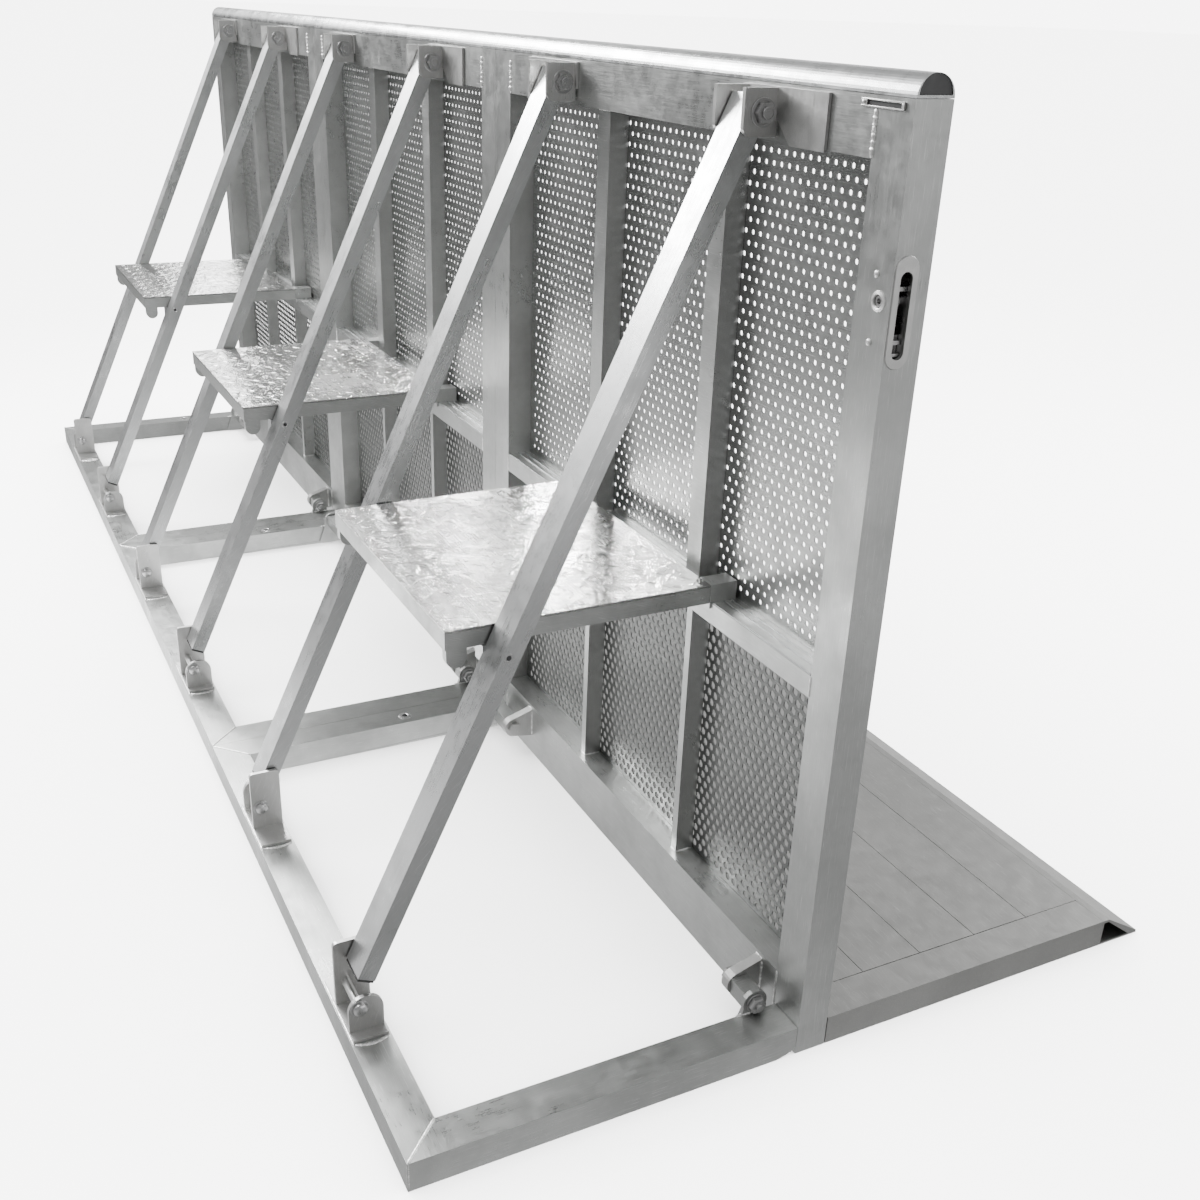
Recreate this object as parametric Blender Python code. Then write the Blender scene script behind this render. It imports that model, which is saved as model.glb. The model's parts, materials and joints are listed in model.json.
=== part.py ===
"""A run of three coupled folding aluminium crowd barriers, as separate pieces.

Frame: metres, +Z up, floor at z = 0. The run lies along X, its upright panels stand in the
plane y = 0, the floor plates lie towards +Y and the stewards' rear frames towards -Y.
The origin is under the middle bay's bottom rail. All joints are at their working position.
"""

import math

import bmesh
import bpy
from mathutils import Matrix

# The run.
BAY_PITCH = 1.06
BAY_CENTRES = {"a": -BAY_PITCH, "b": 0.0, "c": BAY_PITCH}
FRAME_WIDTH = 1.0594
HALF = FRAME_WIDTH / 2
GAP = 0.0003
WALL = 0.003

# The upright frame.
DEPTH = 0.048
FRONT = DEPTH / 2
POST_WIDTH = 0.060
WINDOW_HALF = HALF - POST_WIDTH
BOTTOM_RAIL_TOP = 0.098
MID_RAIL = (0.5225, 0.5525)
TOP_RAIL = (1.154, 1.2155)
HANDRAIL_BASE = 1.216
HANDRAIL_RADIUS = 0.024
RIB_CENTRE = 0.160
RIB_BACK = -0.012
SHEET_SEAT = 0.018
SHEET_THICKNESS = 0.002
UPPER_RIB_WIDTH = 0.036
LOWER_RIB_WIDTH = 0.014

# The step and the stubs that carry its inner end.
STEP_HALF = 0.2335
STEP_BAR = 0.030
STEP_INNER = -0.0275
STEP_OUTER = -0.412
STEP_UNDERSIDE = 0.553
STEP_TOP = 0.580
TREAD_THICKNESS = 0.0032
STEP_HINGE = (-0.028, 0.5805)
STEP_CENTRE_BAR = 0.015
STEP_INNER_BAR = 0.040
STEP_LUG = (-0.396, 0.540)
STEP_LUG_RADIUS = 0.014
STUB = ((-0.027, 0.015), (0.545, 0.580))

# The struts.
STRUT_CENTRE = 0.262
STRUT_WIDTH = 0.050
STRUT_THICKNESS = 0.025
STRUT_WALL = 0.0025
STRUT_PIVOT = (-0.046, 1.185)
STRUT_LEAN = math.radians(25.3)
STRUT_LENGTH = 1.175
STRUT_HEAD = 0.015
STRUT_REST_WIDTH = 0.0235
STRUT_REST_CENTRE = -0.351
STRUT_REST_HALF = 0.012
STRUT_REST_DEPTH = 0.025
FOOT_PIN = (-0.562, 0.088)

# The rear frame, its hinges and the strut feet.
ARM_INNER = 0.475
REAR_OUTER = -0.580
REAR_INNER = -0.525
ARM_END = -0.0245
REAR_HEIGHT = 0.045
REAR_HINGE = (-0.060, 0.060)
LUG_CENTRES = {"left": -0.360, "right": 0.425}
LUG_HALF = 0.008
TAB_RADIUS = 0.019
EYE_RADIUS = 0.018
BARREL_HALF = 0.013

# Bolts, and the plates that stand either side of a strut.
BOLT_RADIUS = 0.006
BOLT_HOLE = 0.0065
HEX_RADIUS = 0.0125
HEX_HEIGHT = 0.009
CHEEK_CLEARANCE = 0.0025
CHEEK_THICKNESS = 0.006
SADDLE_THICKNESS = 0.004
FOOT_BASE = ((0.176, 0.312), (-0.577, -0.529))
FOOT_BASE_THICKNESS = 0.005
TALL_CHEEK_TOP = 0.152
LOW_CHEEK_TOP = 0.104

# The floor plate and its nose.
PLATE_INNER = 0.0255
PLATE_OUTER = 0.5395
PLATE_TOP = 0.045
PLATE_SKIN = 0.005
PLATE_BORDER = 0.058
PLATE_RIB = 0.006
PLATE_WALL = 0.030
PLATE_RIB_CENTRE = 0.157
PLANKS = 5
SEAM_HALF = 0.0006
SEAM_DEPTH = 0.001
PLATE_HINGE = (PLATE_INNER, PLATE_TOP + 0.0005)
NOSE_TIP = 0.620

# The latch in the near post.
LATCH_SHAFT = (1.570, 1.016)
LATCH_SLOT = ((-0.015, 0.0), (0.957, 1.049))
LATCH_HOOK_REACH = 0.034
LATCH_CASE_HEIGHT = (0.955, 1.077)

SEGMENTS = 24
SUNK = 0.002
THROUGH = (-1, 1)


def clear_scene():
    for thing in list(bpy.data.objects):
        bpy.data.objects.remove(thing, do_unlink=True)


def new_collection(name):
    collection = bpy.data.collections.new(name)
    bpy.context.scene.collection.children.link(collection)
    return collection


clear_scene()
PARTS = new_collection("coupled_barrier_run")
CUTTERS = new_collection("cutters")


def material(name, colour, metallic, roughness):
    made = bpy.data.materials.new(name)
    made.use_nodes = True
    shader = made.node_tree.nodes["Principled BSDF"]
    shader.inputs["Base Color"].default_value = (*colour, 1)
    shader.inputs["Metallic"].default_value = metallic
    shader.inputs["Roughness"].default_value = roughness
    return made


FRAME_METAL = material("extruded_aluminium", (0.72, 0.73, 0.74), 1.0, 0.38)
SHEET_METAL = material("perforated_aluminium", (0.62, 0.63, 0.64), 1.0, 0.45)
TREAD_METAL = material("chequer_aluminium", (0.66, 0.66, 0.65), 1.0, 0.42)
CAST_METAL = material("bracket_aluminium", (0.70, 0.70, 0.69), 1.0, 0.50)
STEEL = material("zinc_steel", (0.60, 0.60, 0.61), 1.0, 0.35)
BLACK_PLASTIC = material("black_plastic", (0.02, 0.02, 0.02), 0.0, 0.60)


def tool(name, mesh):
    """A helper solid, which is joined to a piece or cut from it."""
    helper = bpy.data.objects.new(name, mesh)
    helper.hide_render = True
    helper.display_type = "WIRE"
    CUTTERS.objects.link(helper)
    return helper


def from_bmesh(name, made):
    mesh = bpy.data.meshes.new(name)
    made.to_mesh(mesh)
    made.free()
    return tool(name, mesh)


def box(x, y, z):
    """A box between the two ends given for each axis."""
    made = bmesh.new()
    bmesh.ops.create_cube(made, size=1)
    size = [max(ends) - min(ends) for ends in (x, y, z)]
    centre = [sum(ends) / 2 for ends in (x, y, z)]
    bmesh.ops.transform(
        made, matrix=Matrix.Translation(centre) @ Matrix.Diagonal((*size, 1)), verts=made.verts
    )
    return from_bmesh("box", made)


def cylinder_x(x, yz, radius, sides=SEGMENTS):
    """A cylinder or hexagon along X between the two ends x, centred on yz."""
    made = bmesh.new()
    bmesh.ops.create_cone(
        made, cap_ends=True, segments=sides, radius1=radius, radius2=radius, depth=max(x) - min(x)
    )
    turn = Matrix.Rotation(math.pi / 2, 4, "Y")
    bmesh.ops.transform(
        made, matrix=Matrix.Translation((sum(x) / 2, *yz)) @ turn, verts=made.verts
    )
    return from_bmesh("cylinder", made)


def cylinder_y(y, xz, radius, sides=SEGMENTS):
    """A cylinder along Y between the two ends y, centred on xz."""
    made = bmesh.new()
    bmesh.ops.create_cone(
        made, cap_ends=True, segments=sides, radius1=radius, radius2=radius, depth=max(y) - min(y)
    )
    turn = Matrix.Rotation(math.pi / 2, 4, "X")
    bmesh.ops.transform(
        made, matrix=Matrix.Translation((xz[0], sum(y) / 2, xz[1])) @ turn, verts=made.verts
    )
    return from_bmesh("cylinder", made)


def evaluated_mesh(thing):
    bpy.context.view_layer.update()
    graph = bpy.context.evaluated_depsgraph_get()
    return bpy.data.meshes.new_from_object(thing.evaluated_get(graph))


def plate(axis, ends, outline):
    """A flat plate across X or Y, whose outline is a list of (y, z) or (x, z) points."""
    curve = bpy.data.curves.new("outline", "CURVE")
    curve.dimensions = "2D"
    curve.fill_mode = "BOTH"
    curve.extrude = (max(ends) - min(ends)) / 2
    spline = curve.splines.new("POLY")
    spline.points.add(len(outline) - 1)
    for point, (across, up) in zip(spline.points, outline):
        point.co = (across, up, 0, 1)
    spline.use_cyclic_u = True
    flat = bpy.data.objects.new("outline", curve)
    CUTTERS.objects.link(flat)
    mesh = evaluated_mesh(flat)
    bpy.data.objects.remove(flat)
    # The outline's own axes (across, up, thickness) become Y, Z and X, or X, Z and Y.
    middle = sum(ends) / 2
    upright = {
        "X": Matrix(((0, 0, 1, middle), (1, 0, 0, 0), (0, 1, 0, 0), (0, 0, 0, 1))),
        "Y": Matrix(((1, 0, 0, 0), (0, 0, 1, middle), (0, 1, 0, 0), (0, 0, 0, 1))),
    }[axis]
    made = bmesh.new()
    made.from_mesh(mesh)
    bmesh.ops.remove_doubles(made, verts=made.verts, dist=1e-6)
    bmesh.ops.transform(made, matrix=upright, verts=made.verts)
    bmesh.ops.recalc_face_normals(made, faces=made.faces)
    bpy.data.meshes.remove(mesh)
    return from_bmesh("plate", made)


def plate_x(x, outline):
    """A flat plate between the two ends x, whose outline is a list of (y, z) points."""
    return plate("X", x, outline)


def arc(centre, radius, start, end, steps):
    """Points on an arc in the YZ plane, with its angles in degrees from +Y towards +Z."""
    turns = [math.radians(start + (end - start) * i / steps) for i in range(steps + 1)]
    return [(centre[0] + radius * math.cos(t), centre[1] + radius * math.sin(t)) for t in turns]


def mirrored(x, side):
    """The ends of x, turned over to the left for a left-hand piece."""
    return x if side == "right" else (-x[1], -x[0])


def cheek_ends(side):
    """The ends along X of the two plates beside a strut, the one nearer the bay's centre first."""
    near = STRUT_CENTRE - STRUT_WIDTH / 2 - CHEEK_CLEARANCE
    far = STRUT_CENTRE + STRUT_WIDTH / 2 + CHEEK_CLEARANCE
    return mirrored((near - CHEEK_THICKNESS, near), side), mirrored((far, far + CHEEK_THICKNESS), side)


def shaped(base, joined=(), cut=()):
    """The mesh of a base solid with others joined to it and then cut from it."""
    for operation, helpers in (("UNION", joined), ("DIFFERENCE", cut)):
        for helper in helpers:
            step = base.modifiers.new(operation.lower(), "BOOLEAN")
            step.operation = operation
            step.object = helper
    mesh = evaluated_mesh(base)
    for helper in (base, *joined, *cut):
        bpy.data.objects.remove(helper)
    return mesh


def origin_at(mesh, point):
    """Moves the mesh so that this point becomes its object's origin."""
    mesh.transform(Matrix.Translation([-value for value in point]))
    return mesh


def piece(name, mesh, look, location=(0, 0, 0)):
    """One named piece. Copies of a piece share its mesh."""
    made = bpy.data.objects.new(name, mesh)
    if not mesh.materials:
        mesh.materials.append(look)
        mesh.shade_smooth()
        mesh.set_sharp_from_angle(angle=math.radians(35))
    made.location = location
    PARTS.objects.link(made)
    return made


def in_each_bay(name, mesh, look, origin=(0, 0, 0)):
    """A copy of the piece in every bay, with its origin at the given point of the bay."""
    origin_at(mesh, origin)
    return {
        bay: piece(f"{name}_{bay}", mesh, look, (centre + origin[0], origin[1], origin[2]))
        for bay, centre in BAY_CENTRES.items()
    }


def window_cells(half_rib, low, high):
    """The three openings between the posts and the two ribs."""
    edges = (-WINDOW_HALF, -RIB_CENTRE - half_rib, -RIB_CENTRE + half_rib)
    edges += tuple(-edge for edge in reversed(edges))
    return [box((edges[i], edges[i + 1]), THROUGH, (low, high)) for i in (0, 2, 4)]


def upright_frame():
    outer = box((-HALF, HALF), (-FRONT, FRONT), (0, TOP_RAIL[1]))
    stubs = [
        box(mirrored((STEP_HALF - STEP_BAR, STEP_HALF), side), *STUB) for side in ("left", "right")
    ]
    windows = ((UPPER_RIB_WIDTH, MID_RAIL[1], TOP_RAIL[0]), (LOWER_RIB_WIDTH, BOTTOM_RAIL_TOP, MID_RAIL[0]))
    cut = []
    for rib_width, low, high in windows:
        across = (-WINDOW_HALF, WINDOW_HALF)
        cut += window_cells(rib_width / 2, low, high)
        cut.append(box(across, (SHEET_SEAT, DEPTH), (low, high)))
        cut.append(box(across, (-DEPTH, RIB_BACK), (low, high)))
    # The tubes are hollow. The post bores are open at the floor, and the rail bores run into them.
    inside = FRONT - WALL
    for side in ("left", "right"):
        bore = mirrored((HALF - POST_WIDTH + WALL, HALF - WALL), side)
        cut.append(box(bore, (-inside, inside), (-WALL, TOP_RAIL[1] - WALL)))
    for low, high in ((0, BOTTOM_RAIL_TOP), MID_RAIL, TOP_RAIL):
        run = (-HALF + 2 * WALL, HALF - 2 * WALL)
        cut.append(box(run, (-inside, inside), (low + WALL, high - WALL)))
    return shaped(outer, cut=cut), stubs


def with_stubs(mesh, stubs):
    """The frame with the two stubs that the step hinges on, standing on its mid rail."""
    return shaped(tool("frame", mesh), joined=stubs)


def d_profile(radius, base):
    return arc((0, base), radius, 0, 180, SEGMENTS)


def handrail():
    outer = plate_x((-HALF, HALF), d_profile(HANDRAIL_RADIUS, HANDRAIL_BASE))
    bore = plate_x(THROUGH, d_profile(HANDRAIL_RADIUS - WALL, HANDRAIL_BASE + WALL))
    return shaped(outer, cut=[bore])


def handrail_end_cap():
    """The plastic plug in the handrail's near end."""
    end = BAY_PITCH + HALF
    return plate_x(
        (end - 0.015, end - 0.001),
        d_profile(HANDRAIL_RADIUS - WALL - GAP, HANDRAIL_BASE + WALL + GAP),
    ).data


def sheet(low, high):
    across = (-WINDOW_HALF + GAP, WINDOW_HALF - GAP)
    seat = SHEET_SEAT + GAP
    return box(across, (seat, seat + SHEET_THICKNESS), (low + GAP, high - GAP)).data


def strut_bracket(side):
    """A saddle plate on the top rail with two ears for the strut's pivot bolt."""
    back = -FRONT - GAP
    wing = [(0.222, 1.212), (0.222, 1.176), (0.300, 1.176), (0.326, 1.152), (0.392, 1.152), (0.392, 1.212)]
    sign = 1 if side == "right" else -1
    saddle = plate("Y", (back - SADDLE_THICKNESS, back), [(sign * x, z) for x, z in wing])
    root = back - SUNK
    ear = [(root, 1.211), (-0.071, 1.211), *arc((-0.060, 1.170), 0.011, 180, 270, 5), (root, 1.159)]
    ears = [plate_x(ends, ear) for ends in cheek_ends(side)]
    hole = cylinder_x(THROUGH, STRUT_PIVOT, BOLT_HOLE)
    return shaped(saddle, joined=ears, cut=[hole])


def bolt(x, yz):
    """A bolt along X with a hexagon at each end, which is its head and its nut."""
    tip = HEX_HEIGHT + SUNK
    shank = cylinder_x((x[0] - tip, x[1] + tip), yz, BOLT_RADIUS)
    heads = [
        cylinder_x(ends, yz, HEX_RADIUS, 6)
        for ends in ((x[0] - HEX_HEIGHT, x[0]), (x[1], x[1] + HEX_HEIGHT))
    ]
    return shaped(shank, joined=heads)


def strut_bolt(side):
    reach = STRUT_WIDTH / 2 + CHEEK_CLEARANCE + CHEEK_THICKNESS + GAP
    return bolt(mirrored((STRUT_CENTRE - reach, STRUT_CENTRE + reach), side), STRUT_PIVOT)


def strut(side):
    """A rectangular tube from the top pivot down to the rear rail, with a rest for the step."""
    x = mirrored((STRUT_CENTRE - STRUT_WIDTH / 2, STRUT_CENTRE + STRUT_WIDTH / 2), side)
    half = STRUT_THICKNESS / 2
    tube = box(x, (-half, half), (-STRUT_LENGTH, STRUT_HEAD))
    inside = (x[0] + STRUT_WALL, x[1] - STRUT_WALL)
    bore = box(inside, (-half + STRUT_WALL, half - STRUT_WALL), (-2 * STRUT_LENGTH, STRUT_HEAD - WALL))
    hole = cylinder_x(THROUGH, (0, 0), BOLT_HOLE)
    lean = Matrix.Translation((0, *STRUT_PIVOT)) @ Matrix.Rotation(-STRUT_LEAN, 4, "X")
    mesh = shaped(tube, cut=[bore, hole])
    mesh.transform(lean)
    strut_inner = STRUT_CENTRE - STRUT_WIDTH / 2
    rest = box(
        mirrored((strut_inner - STRUT_REST_WIDTH, strut_inner + STRUT_WALL / 2), side),
        (STRUT_REST_CENTRE - STRUT_REST_HALF, STRUT_REST_CENTRE + STRUT_REST_HALF),
        (STEP_UNDERSIDE - STRUT_REST_DEPTH, STEP_UNDERSIDE - GAP),
    )
    return shaped(tool("strut", mesh), joined=[rest])


def step_frame():
    """Side bars and cross bars under the tread, with a rounded lug under each outer corner."""
    top = STEP_TOP - TREAD_THICKNESS - GAP
    outer = box((-STEP_HALF, STEP_HALF), (STEP_OUTER, STEP_INNER), (STEP_UNDERSIDE, top))
    y = (STEP_OUTER + STEP_BAR, STEP_INNER - STEP_INNER_BAR)
    cells = []
    lugs = []
    for side in ("left", "right"):
        cells.append(box(mirrored((STEP_CENTRE_BAR, STEP_HALF - STEP_BAR), side), y, THROUGH))
        middle = STEP_LUG[0]
        root = STEP_UNDERSIDE + SUNK
        lug = [(middle - STEP_LUG_RADIUS, root), *arc(STEP_LUG, STEP_LUG_RADIUS, 180, 360, 10)]
        lug.append((middle + STEP_LUG_RADIUS, root))
        lugs.append(plate_x(mirrored((STEP_HALF - 0.014, STEP_HALF - 0.001), side), lug))
    return shaped(outer, joined=lugs, cut=cells)


def step_tread():
    return box(
        (-STEP_HALF, STEP_HALF), (STEP_OUTER, STEP_INNER), (STEP_TOP - TREAD_THICKNESS, STEP_TOP)
    ).data


def tab_outline():
    """A hinge tab: a foot on the arm that rises to a round eye on the hinge axis."""
    return [(-0.095, 0.006), (-0.036, 0.006), *arc(REAR_HINGE, TAB_RADIUS, -20, 200, 12)]


def rear_frame():
    """A U of rectangular tube on the floor, with a tab and a bored block at each hinge."""
    base = box((-HALF, HALF), (REAR_OUTER, ARM_END), (0, REAR_HEIGHT))
    opening = box((-ARM_INNER, ARM_INNER), (REAR_INNER, 1), THROUGH)
    low, high = WALL, REAR_HEIGHT - WALL
    bores = [box((-HALF + WALL, HALF - WALL), (REAR_OUTER + WALL, REAR_INNER - WALL), (low, high))]
    for side in ("left", "right"):
        bore = mirrored((ARM_INNER + WALL, HALF - WALL), side)
        bores.append(box(bore, (REAR_OUTER + WALL, 1), (low, high)))
    # The arms' toes are rounded about the hinge, so that they clear the floor when they swing up.
    toes = [(-0.0537, -0.002), *arc(REAR_HINGE, 0.0598, 276, 308, 5), (-0.0232, -0.002)]
    mesh = shaped(base, cut=[opening, *bores, plate_x(THROUGH, toes)])
    hinges = []
    y, z = REAR_HINGE
    tab = (ARM_INNER - 2 * WALL, ARM_INNER + SUNK / 2)
    for side, centre in LUG_CENTRES.items():
        hinges.append(plate_x(mirrored(tab, side), tab_outline()))
        barrel = mirrored((abs(centre) + LUG_HALF + GAP, ARM_INNER - WALL), side)
        hinges.append(box(barrel, (y - BARREL_HALF, y + BARREL_HALF), (z - BARREL_HALF, z + BARREL_HALF)))
    bolts = (ARM_INNER / 2, HALF + WALL)
    holes = [cylinder_x(mirrored(bolts, side), REAR_HINGE, BOLT_HOLE) for side in LUG_CENTRES]
    return shaped(tool("rear_frame", mesh), joined=hinges, cut=holes)


def hinge_lug(side):
    """A plate on the upright's foot that holds the pin of the rear frame's hinge."""
    centre = abs(LUG_CENTRES[side])
    back = -FRONT - GAP
    outline = [(back, 0.090), (back, 0.036), *arc(REAR_HINGE, EYE_RADIUS, 250, 110, 10)]
    lug = plate_x(mirrored((centre - LUG_HALF, centre + LUG_HALF), side), outline)
    pin = cylinder_x(mirrored((centre, ARM_INNER - 0.001), side), REAR_HINGE, BOLT_RADIUS)
    head = mirrored((centre - LUG_HALF - HEX_HEIGHT, centre), side)
    return shaped(lug, joined=[pin, cylinder_x(head, REAR_HINGE, HEX_RADIUS, 6)])


def cheek_outline(radius, top):
    """A cheek as deep as the foot bracket's base, with its two upper corners rounded."""
    outer, inner = FOOT_BASE[1]
    root = REAR_HEIGHT + GAP + SUNK
    corners = arc((inner - radius, top - radius), radius, 0, 90, 6)
    corners += arc((outer + radius, top - radius), radius, 90, 180, 6)
    return [(outer, root), (inner, root), *corners]


def foot_bracket(side):
    """The strut's seat on the rear rail: a base, a tall square cheek, a low round one and a cross pin."""
    floor = REAR_HEIGHT + GAP
    base = box(mirrored(FOOT_BASE[0], side), FOOT_BASE[1], (floor, floor + FOOT_BASE_THICKNESS))
    tall, low = cheek_ends(side)
    ends = (min(*tall, *low) - HEX_HEIGHT / 2, max(*tall, *low) + HEX_HEIGHT / 2)
    cheeks = [
        plate_x(tall, cheek_outline(0.006, TALL_CHEEK_TOP)),
        plate_x(low, cheek_outline(0.022, LOW_CHEEK_TOP)),
        cylinder_x(ends, FOOT_PIN, BOLT_RADIUS),
    ]
    return shaped(base, joined=cheeks)


def floor_plate():
    """Planks along X between two border strips, with stiffening ribs, open underneath."""
    outer = box((-HALF, HALF), (PLATE_INNER, PLATE_OUTER), (0, PLATE_TOP))
    half_rib = PLATE_RIB / 2
    inner = HALF - PLATE_BORDER
    x_edges = (-inner, -PLATE_RIB_CENTRE, PLATE_RIB_CENTRE, inner)
    y_edges = (PLATE_INNER + PLATE_WALL, (PLATE_INNER + PLATE_OUTER) / 2, PLATE_OUTER - PLATE_WALL)
    cut = []
    for low_x, high_x in zip(x_edges, x_edges[1:]):
        for low_y, high_y in zip(y_edges, y_edges[1:]):
            x = (low_x + half_rib, high_x - half_rib)
            y = (low_y + half_rib, high_y - half_rib)
            cut.append(box(x, y, (-WALL, PLATE_TOP - PLATE_SKIN)))
    surface = (PLATE_TOP - SEAM_DEPTH, PLATE_TOP + SEAM_DEPTH)
    plank = (PLATE_OUTER - PLATE_INNER) / PLANKS
    for i in range(1, PLANKS):
        seam = PLATE_INNER + i * plank
        cut.append(box((-inner, inner), (seam - SEAM_HALF, seam + SEAM_HALF), surface))
    for side in ("left", "right"):
        border = mirrored((inner - SEAM_HALF, inner + SEAM_HALF), side)
        cut.append(box(border, (PLATE_INNER - WALL, PLATE_OUTER + WALL), surface))
    return shaped(outer, cut=cut)


def nose_profile():
    """The hollow ramp along the floor plate's front edge."""
    start = PLATE_OUTER + GAP
    crest = start + 0.012
    ramp = [(start, 0), (NOSE_TIP, 0), (NOSE_TIP, 0.004), (crest, PLATE_TOP), (start, PLATE_TOP)]
    ceiling = 0.0405
    floor = WALL
    hollow = [(start + WALL, floor), (NOSE_TIP - 0.018, floor), (crest, ceiling), (start + WALL, ceiling)]
    return shaped(plate_x((-HALF, HALF), ramp), cut=[plate_x(THROUGH, hollow)])


def latch_case():
    """The block that fills the front half of the near post and carries the latch's shaft."""
    x, z = LATCH_SHAFT
    post = (BAY_PITCH + HALF - POST_WIDTH + WALL + GAP, BAY_PITCH + HALF - WALL - GAP)
    body = box(post, (0.001, FRONT - WALL - GAP), LATCH_CASE_HEIGHT)
    return shaped(body, cut=[cylinder_y(THROUGH, (x, z), BOLT_HOLE)])


def latch_cam():
    """A key-turned shaft with a hook that swings out through the post's slot."""
    x, z = LATCH_SHAFT
    shaft = cylinder_y((-FRONT + 0.0005, 0.015), (x, z), BOLT_RADIUS)
    hook_depth = (-0.0105, -0.0045)
    arm = box((x - 0.007, x + 0.007), hook_depth, (z - LATCH_HOOK_REACH, z))
    boss = cylinder_y(hook_depth, (x, z), 0.0105)
    toe = box((x - 0.014, x), hook_depth, (z - LATCH_HOOK_REACH, z - LATCH_HOOK_REACH + 0.008))
    socket = cylinder_y((-0.1, -FRONT + 0.006), (x, z), 0.0035, 6)
    return shaped(shaft, joined=[arm, boss, toe], cut=[socket])


def cut_latch_openings(post):
    """The slot in the near post's end face and the key hole in its rear face."""
    (slot_back, slot_front), (low, high) = LATCH_SLOT
    centre = (slot_back + slot_front) / 2
    radius = (slot_front - slot_back) / 2
    outline = arc((centre, high - radius), radius, 0, 180, 12)
    outline += arc((centre, low + radius), radius, 180, 360, 12)
    end = BAY_PITCH + HALF
    x, z = LATCH_SHAFT
    slot = plate_x((end - 2 * WALL, end + WALL), outline)
    key_hole = cylinder_y((-2 * FRONT, -FRONT + 2 * WALL), (x, z), BOLT_HOLE)
    for name, cutter in (("latch_slot", slot), ("key_hole", key_hole)):
        cutter.name = name
        step = post.modifiers.new(name, "BOOLEAN")
        step.operation = "DIFFERENCE"
        step.object = cutter


def detached(helper_mesh):
    """A helper's mesh once its object has gone."""
    for helper in [o for o in CUTTERS.objects if o.data == helper_mesh]:
        bpy.data.objects.remove(helper)
    return helper_mesh


def build():
    frames = in_each_bay("upright_frame", with_stubs(*upright_frame()), FRAME_METAL)
    cut_latch_openings(frames["c"])
    in_each_bay("handrail", handrail(), FRAME_METAL)
    in_each_bay("upper_sheet", detached(sheet(MID_RAIL[1], TOP_RAIL[0])), SHEET_METAL)
    in_each_bay("lower_sheet", detached(sheet(BOTTOM_RAIL_TOP, MID_RAIL[0])), SHEET_METAL)
    rear_origin = (0, *REAR_HINGE)
    for side in ("left", "right"):
        in_each_bay(f"strut_bracket_{side}", strut_bracket(side), CAST_METAL)
        in_each_bay(f"strut_bolt_{side}", strut_bolt(side), STEEL)
        in_each_bay(f"strut_{side}", strut(side), FRAME_METAL, (0, *STRUT_PIVOT))
        in_each_bay(f"hinge_lug_{side}", hinge_lug(side), CAST_METAL)
        in_each_bay(f"foot_bracket_{side}", foot_bracket(side), CAST_METAL, rear_origin)
    in_each_bay("rear_frame", rear_frame(), FRAME_METAL, rear_origin)
    in_each_bay("step_frame", step_frame(), FRAME_METAL, (0, *STEP_HINGE))
    in_each_bay("step_tread", detached(step_tread()), TREAD_METAL, (0, *STEP_HINGE))
    in_each_bay("floor_plate", floor_plate(), TREAD_METAL, (0, *PLATE_HINGE))
    in_each_bay("nose_profile", nose_profile(), FRAME_METAL, (0, *PLATE_HINGE))
    piece("handrail_end_cap", detached(handrail_end_cap()), BLACK_PLASTIC)
    piece("latch_case", latch_case(), STEEL)
    shaft = (LATCH_SHAFT[0], 0, LATCH_SHAFT[1])
    piece("latch_cam", origin_at(latch_cam(), shaft), STEEL, shaft)


build()
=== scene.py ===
import json
import math

import bmesh
import bpy
from mathutils import Matrix, Vector


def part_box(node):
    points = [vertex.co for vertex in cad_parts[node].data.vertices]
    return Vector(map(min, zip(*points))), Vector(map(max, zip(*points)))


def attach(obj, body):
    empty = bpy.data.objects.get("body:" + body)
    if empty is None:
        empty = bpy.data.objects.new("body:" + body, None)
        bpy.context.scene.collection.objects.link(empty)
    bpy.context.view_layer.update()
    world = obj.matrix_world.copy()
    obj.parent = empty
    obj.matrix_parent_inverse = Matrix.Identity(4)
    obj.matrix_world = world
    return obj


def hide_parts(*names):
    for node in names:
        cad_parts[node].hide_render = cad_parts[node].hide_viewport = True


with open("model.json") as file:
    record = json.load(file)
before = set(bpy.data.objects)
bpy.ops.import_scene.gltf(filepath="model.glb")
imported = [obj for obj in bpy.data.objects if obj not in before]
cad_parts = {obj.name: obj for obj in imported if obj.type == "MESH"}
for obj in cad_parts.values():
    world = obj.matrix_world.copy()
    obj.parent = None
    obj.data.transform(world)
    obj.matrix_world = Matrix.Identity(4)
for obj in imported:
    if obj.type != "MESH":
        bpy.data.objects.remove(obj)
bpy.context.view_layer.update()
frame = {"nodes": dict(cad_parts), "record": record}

# The visual model of a run of three coupled folding crowd barriers, in the frame of the CAD pack.

BAYS = "abc"
SIDES = {"left": -1, "right": 1}


def bay_centre(bay):
    low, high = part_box(f"upright_frame_{bay}")
    return (low[0] + high[0]) / 2


CENTRES = {bay: bay_centre(bay) for bay in BAYS}
PITCH = CENTRES["c"] - CENTRES["b"]
JOINTS = {joint["name"]: joint for joint in frame["record"]["behaviour"]["joints"]}


def span(stem, axis):
    """The ends of a middle-bay node along one axis; along X they are measured from the bay's centre."""
    low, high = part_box(f"{stem}_b")
    shift = CENTRES["b"] if axis == 0 else 0
    return low[axis] - shift, high[axis] - shift


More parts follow.
